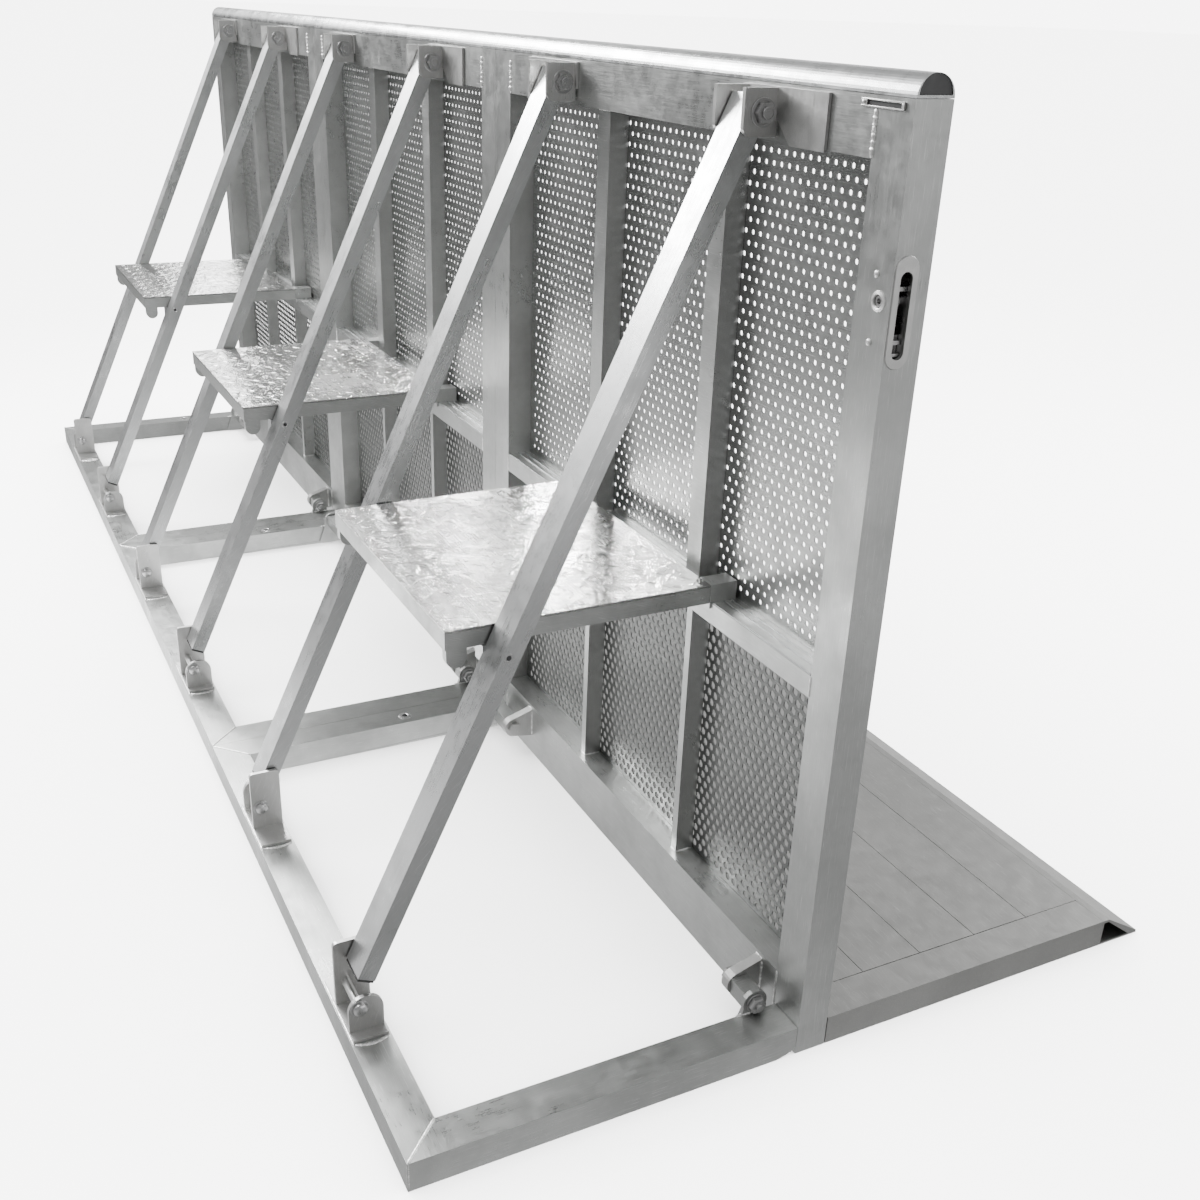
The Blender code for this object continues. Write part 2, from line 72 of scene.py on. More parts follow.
# Sizes of the CAD pieces that their boxes don't tell.
REAR_TUBE = 0.055
ARM_WIDTH = 0.0547
STRUT_WIDTH = 0.050
STRUT_LENGTH = 1.175
LEAN = math.radians(25.3)
RIB_CENTRE = 0.160
RIB_BACK = -0.012
UPPER_RIB_HALF = 0.018
LOWER_RIB_HALF = 0.007
STEP_BAR = 0.030
LUG_CENTRES = {"left": 0.360, "right": 0.425}
LUG_HALF = 0.008
CHEEK_CLEARANCE = 0.0025
CHEEK_THICKNESS = 0.006
FOOT_PIN = (-0.562, 0.088)

# Faces that the added pieces sit on. Distances along X are from a bay's centre.
LIFT = 0.0002
FRAME_HALF = span("upright_frame", 0)[1]
FRAME_TOP = span("upright_frame", 2)[1]
REAR_FACE = span("handrail", 1)[0]
WINDOW_HALF = span("upper_sheet", 0)[1]
UPPER_WINDOW = span("upper_sheet", 2)
LOWER_WINDOW = span("lower_sheet", 2)
SHEET_FACE = span("upper_sheet", 1)[0]
RAIL_OUTER = span("rear_frame", 1)[0]
RAIL_INNER = RAIL_OUTER + REAR_TUBE
ARM_TOP = span("foot_bracket_right", 2)[0]
ARM_INNER = FRAME_HALF - ARM_WIDTH
FOOT_X = span("foot_bracket_right", 0)
FOOT_Y = span("foot_bracket_right", 1)
STEP_HALF = span("step_frame", 0)[1]
HINGE = JOINTS["rear_fold_b"]["pos_m"][1:]
END_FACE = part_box("upright_frame_c")[1][0]
LATCH = JOINTS["latch_turn"]["pos_m"]
STRUT_PIVOT = JOINTS["strut_swing_right_b"]["pos_m"]
STRUT_CENTRE = STRUT_PIVOT[0] - CENTRES["b"]
STRUT_OUTER = span("strut_right", 0)[1]
CHEEK_REACH = STRUT_WIDTH / 2 + CHEEK_CLEARANCE + CHEEK_THICKNESS

# Small fittings: the slotted bar's heights, the step's peg, the arm's eyelet and the latch's slot.
BAR_HEIGHTS = (FRAME_TOP - 0.012, FRAME_TOP - 0.004)
STEP_PEG = (-0.348, 0.556)
EYELET = (-(FRAME_HALF - 0.0294), -0.2235, ARM_TOP - LIFT)
SLOT_Y = -0.0075
SLOT_HALF = 0.0075


# ---------------------------------------------------------------- node trees

class Nodes:
    """A short way to write a node tree."""

    def __init__(self, tree):
        self.tree = tree

    def put(self, kind, inputs=None, **settings):
        node = self.tree.nodes.new("ShaderNode" + kind)
        for name, value in settings.items():
            setattr(node, name, value)
        for name, value in (inputs or {}).items():
            self.feed(node.inputs[name], value)
        return node

    def feed(self, socket, value):
        if isinstance(value, bpy.types.NodeSocket):
            self.tree.links.new(value, socket)
        else:
            socket.default_value = value

    def math(self, operation, a, b=0.0, c=0.0):
        node = self.put("Math", operation=operation)
        for socket, value in zip(node.inputs, (a, b, c)):
            self.feed(socket, value)
        return node.outputs[0]

    def noise(self, coords, scale, detail=4.0, roughness=0.55):
        node = self.put("TexNoise", {"Scale": scale, "Detail": detail, "Roughness": roughness})
        self.tree.links.new(coords, node.inputs["Vector"])
        return node.outputs["Fac"]

    def remap(self, value, low, high, to_low, to_high):
        ends = {"From Min": low, "From Max": high, "To Min": to_low, "To Max": to_high}
        return self.put("MapRange", {"Value": value, **ends}).outputs[0]

    def ramp(self, value, stops):
        """Grey levels along a value, from pairs of place and level."""
        node = self.put("ValToRGB", {"Fac": value})
        while len(node.color_ramp.elements) < len(stops):
            node.color_ramp.elements.new(0.5)
        for element, (place, level) in zip(node.color_ramp.elements, stops):
            element.position = place
            element.color = (level, level, level, 1)
        return node.outputs[0]

    def grain(self, axis, lean=0.0):
        """Coordinates that are drawn out along X, Y or Z, after leaning about X."""
        coords = self.put("TexCoord").outputs["Object"]
        turned = self.put("Mapping", {"Vector": coords, "Rotation": (lean, 0, 0)}).outputs[0]
        scale = {"X": (1.2, 60, 60), "Y": (60, 1.2, 60), "Z": (60, 60, 1.2)}[axis]
        return self.put("Mapping", {"Vector": turned, "Scale": scale}).outputs[0]

    def mix(self, share, a, b):
        node = self.put("Mix", data_type="RGBA")
        for index, value in ((0, share), (6, a), (7, b)):
            self.feed(node.inputs[index], value)
        return node.outputs[2]

    def bump(self, height, distance, strength=1.0, under=None):
        node = self.put("Bump", {"Height": height, "Distance": distance, "Strength": strength})
        if under is not None:
            self.tree.links.new(under, node.inputs["Normal"])
        return node.outputs[0]


def new_look(name):
    """A material, with its node tree and its shader."""
    look = bpy.data.materials.new(name)
    look.use_nodes = True
    return look, Nodes(look.node_tree), look.node_tree.nodes["Principled BSDF"]


def choose_by_ray(nodes, seen, mirrored, output):
    """Surroundings that are one thing to the camera and for soft light, and another in reflections."""
    path = nodes.put("LightPath")
    choose = nodes.put("MixShader", {0: path.outputs["Is Glossy Ray"]})
    nodes.feed(choose.inputs[1], seen.outputs[0])
    nodes.feed(choose.inputs[2], mirrored.outputs[0])
    nodes.feed(output.inputs["Surface"], choose.outputs[0])


# ---------------------------------------------------------------- camera, floor and light

def camera():
    """The viewing angle: behind the run's near end, above the handrail and looking down along it."""
    place = (2.695, -0.931, 1.2915)
    azimuth, fall, roll = 1.0909, 0.4435, 0.0367
    level = Vector((-math.sin(azimuth), math.cos(azimuth), 0))
    ahead = level * math.cos(fall) - Vector((0, 0, math.sin(fall)))
    right = Vector((math.cos(azimuth), math.sin(azimuth), 0))
    up = right.cross(ahead)
    across = right * math.cos(roll) + up * math.sin(roll)
    upward = up * math.cos(roll) - right * math.sin(roll)
    lens = bpy.data.cameras.new("camera")
    lens.lens = 39.85
    lens.sensor_width = 36
    lens.shift_x = 0.004
    lens.shift_y = 0.027
    lens.clip_end = 400
    eye = bpy.data.objects.new("camera", lens)
    turn = Matrix((across, upward, -ahead)).transposed()
    eye.matrix_world = Matrix.Translation(place) @ turn.to_4x4()
    bpy.context.scene.collection.objects.link(eye)
    bpy.context.scene.camera = eye


def floor():
    """A pale floor. The metal mirrors it as the workshop's grey floor, with pools of light."""
    made = bmesh.new()
    bmesh.ops.create_grid(made, x_segments=1, y_segments=1, size=150)
    mesh = bpy.data.meshes.new("floor")
    made.to_mesh(mesh)
    made.free()
    ground = bpy.data.objects.new("floor", mesh)
    ground.location.z = -0.0005
    look, nodes, shader = new_look("pale_floor")
    look.cycles.emission_sampling = "NONE"
    shader.inputs["Base Color"].default_value = (0.94, 0.94, 0.935, 1)
    shader.inputs["Roughness"].default_value = 0.9
    shader.inputs["Specular IOR Level"].default_value = 0.1
    place = nodes.put("TexCoord").outputs["Object"]
    # The grey rises a little beyond the near end. Each pool has a centre, a reach and a strength.
    level = nodes.math("MULTIPLY", nodes.put("SeparateXYZ", {"Vector": place}).outputs[0], 0.035)
    level = nodes.math("MINIMUM", nodes.math("MAXIMUM", level, 0.17), 0.26)
    pools = (((-0.1, -1.05, 0), 3.0, 3.0), ((4.8, 1.1, 0), 3.0, 1.9), ((0.6, 3.4, 0), 3.6, 1.4))
    fade = ((0.0, 1.0), (0.15, 0.60), (0.30, 0.28), (0.50, 0.11), (0.75, 0.04), (1.0, 0.0))
    for centre, reach, strength in pools:
        away = nodes.put("VectorMath", {0: place, 1: centre}, operation="DISTANCE").outputs["Value"]
        pool = nodes.ramp(nodes.math("DIVIDE", away, reach), fade)
        level = nodes.math("MULTIPLY_ADD", pool, strength, level)
    mirrored = nodes.put("Emission", {"Strength": nodes.math("MULTIPLY", level, 1.7)})
    choose_by_ray(nodes, shader, mirrored, look.node_tree.nodes["Material Output"])
    mesh.materials.append(look)
    bpy.context.scene.collection.objects.link(ground)


def studio_world():
    """Pale all round, but a dim room with bright openings in the metal's reflections."""
    world = bpy.data.worlds.new("studio")
    bpy.context.scene.world = world
    world.use_nodes = True
    # The world isn't sampled as a lamp, so that each kind of ray finds its own surroundings.
    world.cycles.sampling_method = "NONE"
    world.node_tree.nodes.clear()
    nodes = Nodes(world.node_tree)
    way = nodes.put("TexCoord").outputs["Generated"]
    _, front, height = nodes.put("SeparateXYZ", {"Vector": way}).outputs
    greys = ((0.0, 0.34), (0.06, 0.36), (0.20, 0.55), (0.40, 0.82), (0.70, 0.66), (1.0, 0.60))
    walls = nodes.ramp(height, greys)
    # A bright doorway past the far end, on the stewards' side, and a band of windows on the audience's.
    to_doorway = (-0.87, -0.46, 0.18)
    doorway = nodes.put("VectorMath", {0: way, 1: to_doorway}, operation="DOT_PRODUCT").outputs["Value"]
    doorway = nodes.math("POWER", nodes.math("MAXIMUM", doorway, 0.0), 14.0)
    doorway = nodes.math("MULTIPLY", doorway, nodes.remap(height, 0.07, 0.24, 0.0, 5.0))
    band = nodes.ramp(height, ((0.0, 0.0), (0.05, 1.0), (0.26, 1.0), (0.38, 0.0)))
    band = nodes.math("MULTIPLY", band, nodes.remap(front, 0.15, 0.35, 0.0, 3.0))
    room = nodes.math("ADD", nodes.math("ADD", walls, doorway), band)
    pale = nodes.put("Background", {"Color": (1, 1, 1, 1), "Strength": 7.0})
    mirrored = nodes.put("Background", {"Strength": room})
    choose_by_ray(nodes, pale, mirrored, nodes.put("OutputWorld"))


def area_light(name, place, aim, size, power, only_on=None):
    """A soft light. The ones that glare off the treads alone are linked to a collection of them."""
    lamp = bpy.data.lights.new(name, "AREA")
    lamp.shape = "RECTANGLE"
    lamp.size, lamp.size_y = size
    lamp.energy = power
    holder = bpy.data.objects.new(name, lamp)
    holder.location = place
    holder.rotation_euler = (Vector(aim) - Vector(place)).to_track_quat("-Z", "Y").to_euler()
    holder.visible_camera = False
    if only_on:
        holder.light_linking.receiver_collection = only_on
    bpy.context.scene.collection.objects.link(holder)


def studio():
    """The world and the lamps. Two of them glare off the treads, which are in the collection returned."""
    studio_world()
    shiny = bpy.data.collections.new("shiny_treads")
    for bay in BAYS:
        shiny.objects.link(frame["nodes"][f"step_tread_{bay}"])
    area_light("window", (-1.35, 0.85, 1.55), (1.0, -0.2, 0.6), (0.75, 0.5), 1200, shiny)
    area_light("far_window", (-3.4, 0.95, 1.7), (-0.1, -0.2, 0.6), (1.6, 1.0), 90, shiny)
    area_light("side_window", (-1.6, -0.9, 2.3), (0.8, -0.2, 0.5), (1.8, 1.0), 190)
    area_light("front_window", (1.4, 3.6, 2.6), (0.0, 0.1, 0.5), (2.6, 1.4), 170)
    area_light("overhead", (0.4, -2.6, 4.2), (0.3, -0.2, 0.3), (2.4, 1.2), 110)
    return shiny


# ---------------------------------------------------------------- materials

def metal(name, colour, roughness, grain_axis, lean=0.0, turn=None, stain=0.3, spread=0.12,
          wrinkle=0.0, dents=0.12, painted_height_shade=None):
    """Drawn or rolled aluminium: fine grain along it, with stains, dull patches and scratches.

    turn names the members whose grain runs another way: the posts of a frame, or a rear frame's arms.
    The last argument gives painted shade that darkens the metal with height: from one height to another,
    from one share to another.
    """
    look, nodes, shader = new_look(name)
    coords = nodes.put("TexCoord").outputs["Object"]
    x, y, z = nodes.put("SeparateXYZ", {"Vector": coords}).outputs

    def shade(share):
        return (*(value * share for value in colour), 1)

    def drawn(swing, *texture):
        """Noise drawn out along the metal. It turns where posts meet rails, or arms the rear rail."""
        marks = nodes.noise(nodes.grain(grain_axis, lean + swing), *texture)
        if not turn:
            return marks
        if turn == "posts":
            from_joint = nodes.math("PINGPONG", nodes.math("ADD", x, PITCH * 1.5), PITCH / 2)
            share = nodes.math("LESS_THAN", from_joint, FRAME_HALF - WINDOW_HALF)
        else:
            share = nodes.math("GREATER_THAN", y, RAIL_INNER)
        turned_marks = nodes.noise(nodes.grain({"posts": "Z", "arms": "Y"}[turn]), *texture)
        mixed = nodes.put("Mix", data_type="FLOAT")
        for index, value in ((0, share), (2, marks), (3, turned_marks)):
            nodes.feed(mixed.inputs[index], value)
        return mixed.outputs[0]

    streaks = drawn(0.0, 14.0, 3.0, 0.6)
    patches = nodes.noise(coords, 5.5, 5.0, 0.62)
    clouds = nodes.noise(coords, 1.9, 3.0, 0.5)
    smudges = nodes.noise(coords, 38.0, 4.0, 0.7)
    scratch = drawn(0.35, 30.0, 1.0, 0.4)
    scratch = nodes.remap(scratch, 0.66, 0.74, 0.0, 1.0)
    base = nodes.mix(nodes.remap(patches, 0.38, 0.66, 0.0, 1.0), shade(1), shade(1 - stain))
    base = nodes.mix(nodes.remap(clouds, 0.40, 0.62, 0.0, 0.35), base, shade(0.62))
    base = nodes.mix(nodes.remap(streaks, 0.3, 0.7, 0.0, 0.30), base, shade(0.66))
    # Painted shade: the metal darkens with height, between the given heights and shares.
    if painted_height_shade:
        base = nodes.mix(nodes.remap(z, *painted_height_shade), base, shade(0.45))
    base = nodes.mix(nodes.math("MULTIPLY", scratch, 0.4), base, (0.9, 0.9, 0.9, 1))
    nodes.feed(shader.inputs["Base Color"], base)
    shader.inputs["Metallic"].default_value = 1.0
    rough = nodes.remap(patches, 0.3, 0.7, roughness - spread / 2, roughness + spread)
    rough = nodes.math("ADD", rough, nodes.remap(smudges, 0.4, 0.75, -0.02, 0.10))
    rough = nodes.math("ADD", rough, nodes.remap(streaks, 0.3, 0.7, -0.05, 0.07))
    nodes.feed(shader.inputs["Roughness"], rough)
    low = nodes.bump(streaks, 0.00012, 0.6)
    low = nodes.bump(smudges, 0.00035, 0.4, low)
    low = nodes.bump(patches, 0.004, dents, low)
    if wrinkle:
        folds = nodes.put("TexNoise", {"Vector": coords, "Scale": 24.0, "Detail": 3.0, "Distortion": 1.8})
        low = nodes.bump(folds.outputs["Fac"], 0.004, wrinkle, low)
    nodes.feed(shader.inputs["Normal"], low)
    return look


def plastic(name):
    """Black plastic with a little dust on it."""
    look, nodes, shader = new_look(name)
    black, dusty = (0.0030, 0.0030, 0.0036, 1), (0.012, 0.012, 0.012, 1)
    dust = nodes.noise(nodes.put("TexCoord").outputs["Object"], 90.0, 4.0, 0.6)
    base = nodes.mix(nodes.remap(dust, 0.45, 0.75, 0.0, 0.5), black, dusty)
    nodes.feed(shader.inputs["Base Color"], base)
    nodes.feed(shader.inputs["Roughness"], nodes.remap(dust, 0.3, 0.8, 0.45, 0.7))
    nodes.feed(shader.inputs["Normal"], nodes.bump(dust, 0.0002, 0.4))
    return look


def weld_metal():
    """Bright beads with soot on them."""
    look, nodes, shader = new_look("weld_bead")
    bright, sooty = (0.92, 0.92, 0.91, 1), (0.55, 0.55, 0.54, 1)
    soot = nodes.noise(nodes.put("TexCoord").outputs["Object"], 160.0, 3.0, 0.6)
    base = nodes.mix(nodes.remap(soot, 0.35, 0.7, 0.0, 1.0), bright, sooty)
    nodes.feed(shader.inputs["Base Color"], base)
    shader.inputs["Metallic"].default_value = 1.0
    nodes.feed(shader.inputs["Roughness"], nodes.remap(soot, 0.3, 0.7, 0.30, 0.5))
    return look


# Painted shade: the frame darkens near its top, and the struts near their feet.
TOP_PAINTED_SHADE = (0.75, 1.2, 0.0, 0.5)
FOOT_PAINTED_SHADE = (0.1, 0.95, 0.65, 0.0)

LOOKS = {
    "frame": metal("extruded_frame", (0.64, 0.65, 0.64), 0.32, "X", turn="posts", painted_height_shade=TOP_PAINTED_SHADE),
    "rail": metal("extruded_rail", (0.60, 0.61, 0.61), 0.24, "X"),
    "rear": metal("rear_tube", (0.58, 0.59, 0.58), 0.30, "X", turn="arms", stain=0.32),
    "strut": metal("strut_tube", (0.72, 0.73, 0.73), 0.28, "Z", LEAN, stain=0.2, painted_height_shade=FOOT_PAINTED_SHADE),
    "step": metal("step_bar", (0.58, 0.59, 0.58), 0.33, "Y"),
    "tread": metal("worn_tread", (0.56, 0.56, 0.55), 0.16, "X", stain=0.45, spread=0.16, wrinkle=0.6),
    "plate": metal("floor_sheet", (0.43, 0.43, 0.42), 0.38, "X", stain=0.16, spread=0.06, dents=0.03),
    "sheet": metal("punched_sheet", (0.42, 0.425, 0.42), 0.25, "X", stain=0.25),
    "lower_sheet": metal("open_punched_sheet", (0.19, 0.195, 0.19), 0.30, "X", stain=0.25),
    "bracket": metal("bracket_plate", (0.70, 0.70, 0.69), 0.32, "Z", stain=0.35),
    "steel": metal("zinc_steel", (0.62, 0.62, 0.62), 0.26, "X", stain=0.35),
    "weld": weld_metal(),
    "plastic": plastic("moulded_plastic"),
}


# ---------------------------------------------------------------- making pieces

def add(name, mesh, look, body, x=0.0):
    """A piece that rides on a body. Repeated pieces share one mesh, moved along the run by x."""
    made = bpy.data.objects.new(name, mesh)
    if not mesh.materials:
        mesh.materials.append(LOOKS[look])
    made.location.x = x
    bpy.context.scene.collection.objects.link(made)
    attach(made, body)
    return made


def mesh_of(name, made, smooth=True):
    """The finished mesh, with its normals outwards and its gentle edges shaded smooth."""
    bmesh.ops.recalc_face_normals(made, faces=made.faces)
    mesh = bpy.data.meshes.new(name)
    made.to_mesh(mesh)
    made.free()
    if smooth:
        mesh.shade_smooth()
        mesh.set_sharp_from_angle(angle=math.radians(35))
    return mesh


def soften(piece, width):
    """Eased edges, as every real edge has."""
    ease = piece.modifiers.new("eased_edges", "BEVEL")
    ease.width = width
    ease.segments = 2
    ease.limit_method = "ANGLE"
    ease.angle_limit = math.radians(40)
    ease.use_clamp_overlap = True
    return piece


def put_box(made, x, y, z):
    """A box from its two ends along each axis."""
    size = [high - low for low, high in (x, y, z)]
    centre = [(low + high) / 2 for low, high in (x, y, z)]
    bmesh.ops.create_cube(made, size=1, matrix=Matrix.Translation(centre) @ Matrix.Diagonal((*size, 1)))


def outward(sign):
    """The axis that points away from the bay's centre on one side."""
    return "X" if sign > 0 else "-X"


def turned(made, profile, centre, axis, sides=24, phase=0.0):
    """A turned solid or ring from (radius, distance along the axis) points; radius 0 closes an end."""
    ahead = {"X": Vector((1, 0, 0)), "Y": Vector((0, 1, 0)), "Z": Vector((0, 0, 1))}[axis[-1]]
    ahead = -ahead if axis[0] == "-" else ahead
    spread = Vector((ahead.y, ahead.z, ahead.x))
    other = ahead.cross(spread)
    rings = []
    for radius, along in profile:
        middle = Vector(centre) + ahead * along
        if radius == 0:
            rings.append([made.verts.new(middle)])
            continue
        turns = [2 * math.pi * (k + phase) / sides for k in range(sides)]
        ways = [spread * math.cos(turn) + other * math.sin(turn) for turn in turns]
        rings.append([made.verts.new(middle + radius * way) for way in ways])
    for here, after in zip(rings, rings[1:]):
        for k in range(sides):
            corners = [here[k % len(here)], here[(k + 1) % len(here)]]
            corners += [after[(k + 1) % len(after)], after[k % len(after)]]
            corners = list(dict.fromkeys(corners))
            if len(corners) > 2:
                made.faces.new(corners)


def bead(made, path, radius, facing=(0, 0, 1), ripple=0.0034, squash=0.6):
    """A weld bead: a low rippled ridge along a path of points, sunk halfway into the metal."""
    points = [Vector(point) for point in path]
    facing = Vector(facing).normalized()
    lengths = [(b - a).length for a, b in zip(points, points[1:])]
    steps = max(4, int(sum(lengths) / (ripple / 2)))
    arc_steps = 6
    rings = []
    for step in range(steps + 1):
        left = sum(lengths) * step / steps
        index = 0
        while index < len(lengths) - 1 and left > lengths[index]:
            left -= lengths[index]
            index += 1
        along = (points[index + 1] - points[index]).normalized()
        here = points[index] + along * min(left, lengths[index])
        across = along.cross(facing).normalized()
        swell = 1.0 if step % 2 else 0.78
        swell *= 1 + 0.10 * math.sin(step * 1.7) + 0.06 * math.sin(step * 0.61)
        taper = min(1.0, 0.45 + 0.3 * min(step, steps - step))
        size = radius * swell * taper
        ring = []
        for k in range(arc_steps + 1):
            turn = math.pi * k / arc_steps
            out = across * size * math.cos(turn) + facing * size * squash * math.sin(turn)
            ring.append(made.verts.new(here + out))
        ring.append(made.verts.new(here - facing * size * 0.3))
        rings.append(ring)
    count = len(rings[0])
    for here, after in zip(rings, rings[1:]):
        for k in range(count):
            made.faces.new((here[k], here[(k + 1) % count], after[(k + 1) % count], after[k]))
    made.faces.new(rings[0][::-1])
    made.faces.new(rings[-1])


# ---------------------------------------------------------------- the CAD pieces' looks

def finish_cad(node, look, bevel):
    """A CAD node keeps its shape: its flat faces are joined up, its edges eased, and it gets a look."""
    thing = frame["nodes"][node]
    thing.data.materials.clear()
    thing.data.materials.append(LOOKS[look])
    flat = thing.modifiers.new("flat_faces", "DECIMATE")
    flat.decimate_type = "DISSOLVE"
    flat.angle_limit = math.radians(1)
    soften(thing, bevel)


def cad_looks():
    """The look and the edges' width of each kind of piece."""
    plans = {
        "upright_frame": ("frame", 0.0014),
        "handrail": ("rail", 0.0006),
        "rear_frame": ("rear", 0.0018),
        "step_frame": ("step", 0.001),
        "floor_plate": ("plate", 0.0008),
        "nose_profile": ("plate", 0.0008),
        "step_tread": ("tread", 0.0008),
    }
    for side in SIDES:
        plans[f"strut_{side}"] = ("strut", 0.0018)
        plans[f"strut_bracket_{side}"] = ("bracket", 0.0008)
        plans[f"strut_bolt_{side}"] = ("steel", 0.0008)
        plans[f"hinge_lug_{side}"] = ("bracket", 0.0010)
        plans[f"foot_bracket_{side}"] = ("bracket", 0.0008)
    for bay in BAYS:
        for stem, (look, bevel) in plans.items():
            finish_cad(f"{stem}_{bay}", look, bevel)
    finish_cad("latch_case", "steel", 0.0005)
    finish_cad("latch_cam", "steel", 0.0004)
    finish_cad("handrail_end_cap", "plastic", 0.0005)


# ---------------------------------------------------------------- punched sheets

HOLE_PITCH = 0.0164
ROW_PITCH = 0.0142
MARGIN = 0.010
HOLE_RADII = {"upper": 0.0039, "lower": 0.0062}


def perforated(name, node, hole):
    """A punched sheet: staggered rows of six-sided holes, with a plain margin all round."""
    low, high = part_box(node)
    width, height = high[0] - low[0], high[2] - low[2]
    columns = int((width - MARGIN) / HOLE_PITCH) * 2
    rows = int((height - MARGIN) / ROW_PITCH)
    left = (width - columns * HOLE_PITCH / 2) / 2
    foot = (height - rows * ROW_PITCH) / 2
    xs = [0.0] + [left + i * HOLE_PITCH / 2 for i in range(columns + 1)] + [width]
    zs = [0.0] + [foot + j * ROW_PITCH for j in range(rows + 1)] + [height]
    points = [(x - width / 2, 0, z) for z in zs for x in xs]
    wide = len(xs)
    faces = []
    for j in range(len(zs) - 1):
        lower, upper = j * wide, (j + 1) * wide
        i = 0
        start = 1 + (j + 1) % 2
        while i < wide - 1:
            punched = 1 <= j <= rows and i >= start and (i - start) % 2 == 0 and i + 2 <= columns + 1
            if not punched:
                faces.append((lower + i, lower + i + 1, upper + i + 1, upper + i))
                i += 1
                continue
            rim = [lower + i + k for k in (0, 1, 2)] + [upper + i + k for k in (2, 1, 0)]
            centre_x = xs[i + 1] - width / 2
            centre_z = (zs[j] + zs[j + 1]) / 2
            first = len(points)
            sides = len(rim)
            for k in range(sides):
                turn = math.radians(-150) + 2 * math.pi * k / sides
                points.append((centre_x + hole * math.cos(turn), 0, centre_z + hole * math.sin(turn)))
            for k in range(sides):
                after = (k + 1) % sides
                faces.append((rim[k], rim[after], first + after, first + k))
            i += 2
    mesh = bpy.data.meshes.new(name)
    mesh.from_pydata(points, [], faces)
    mesh.update()
    return mesh, high[1] - low[1], low


def sheets():
    """Punched sheets in place of the CAD's plain ones, of the same outline and thickness."""
    for level, look in (("upper", "sheet"), ("lower", "lower_sheet")):
        mesh, thick, low = perforated(f"{level}_perforated", f"{level}_sheet_b", HOLE_RADII[level])
        for bay in BAYS:
            panel = add(f"{level}_perforated_sheet_{bay}", mesh, look, "uprights", CENTRES[bay])
            panel.location.y = low[1] + thick / 2
            panel.location.z = low[2]
            wall = panel.modifiers.new("thickness", "SOLIDIFY")
            wall.thickness = thick
            wall.offset = 0
            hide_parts(f"{level}_sheet_{bay}")


# ---------------------------------------------------------------- welds

def upright_welds():
    """Vertical beads where the rails meet the posts, and short ones at the ribs' ends."""
    made = bmesh.new()
    rails = ((UPPER_WINDOW[1], BAR_HEIGHTS[0], 0.0034), (LOWER_WINDOW[1], UPPER_WINDOW[0], 0.0024),
             (0.004, LOWER_WINDOW[0], 0.0024))
    for sign in SIDES.values():
        for low, high, radius in rails:
            x = sign * WINDOW_HALF
            bead(made, [(x, REAR_FACE, low + 0.001), (x, REAR_FACE, high - 0.001)], radius, (0, -1, 0))
    inside = SHEET_FACE - 0.0023
    for half, (low, high) in ((UPPER_RIB_HALF, UPPER_WINDOW), (LOWER_RIB_HALF, LOWER_WINDOW)):
        for rib in (-RIB_CENTRE, RIB_CENTRE):
            for z, up in ((low, 1), (high, -1)):
                path = [(rib - half - 0.001, RIB_BACK, z), (rib + half + 0.001, RIB_BACK, z)]
                bead(made, path, 0.0030, (0, -0.7, 0.7 * up))
                for out in (-1, 1):
                    x = rib + out * half
                    bead(made, [(x, RIB_BACK, z), (x, inside, z)], 0.0024, (0.7 * out, 0, 0.7 * up))
    return mesh_of("upright_welds", made)


def rear_welds():
    """Mitres at the corners, arcs across the rail at the strut feet, and beads under the hinge tabs."""
    made = bmesh.new()
    top = ARM_TOP - LIFT
    bracket_end = FOOT_X[1] + 0.0015
    bracket_start = FOOT_X[0] - 0.0015
    for sign in SIDES.values():
        inner = (sign * ARM_INNER, RAIL_INNER, top)
        outer = (sign * (FRAME_HALF - 0.0012), RAIL_OUTER + 0.0012, top)
        bead(made, [inner, outer], 0.0022)
        bead(made, [outer, (outer[0], outer[1], 0.004)], 0.0020, (sign * 0.7, -0.7, 0))
        bead(made, [(inner[0], inner[1], top), (inner[0], inner[1], 0.004)], 0.0026, (-sign * 0.7, 0.7, 0))
        for x, bow in ((bracket_end, 0.006), (bracket_start, -0.006)):
            low_y, high_y = FOOT_Y[0] + 0.001, FOOT_Y[1] - 0.001
            arc = []
            for k in range(9):
                share = k / 8
                bulge = bow * math.sin(math.pi * share)
                arc.append((sign * (x + bulge), low_y + (high_y - low_y) * share, top))
            bead(made, arc, 0.0030)
        for y in (FOOT_Y[0], FOOT_Y[1]):
            bead(made, [(sign * bracket_start, y, top), (sign * bracket_end, y, top)], 0.0020)
        tab = sign * ARM_INNER
        bead(made, [(tab, HINGE[0] - 0.030, top), (tab, HINGE[0] + 0.018, top)], 0.0026)
    return mesh_of("rear_frame_welds", made)


def foot_welds():
    """Beads round the hinge lugs on the bottom rail."""
    made = bmesh.new()
    foot, top = span("hinge_lug_right", 2)
    for side, sign in SIDES.items():
        faces = [sign * (LUG_CENTRES[side] + out * LUG_HALF) for out in (-1, 1)]
        for x in faces:
            bead(made, [(x, REAR_FACE, foot + 0.002), (x, REAR_FACE, top - 0.002)], 0.0028, (0, -1, 0))
        bead(made, [(x, REAR_FACE, top + 0.0005) for x in faces], 0.0028, (0, -1, 0))
    return mesh_of("hinge_lug_welds", made)


def step_welds():
    """Upright beads in the inner corners where the step's side bars meet its outer bar."""
    low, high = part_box("step_frame_b")
    made = bmesh.new()
    for sign in SIDES.values():
        x = sign * (high[0] - STEP_BAR)
        y = low[1] + STEP_BAR
        z = high[2] - 0.024
        bead(made, [(x, y, z + 0.001), (x, y, z + 0.021)], 0.0024, (-sign * 0.7, 0.7, 0))
    return mesh_of("step_welds", made)


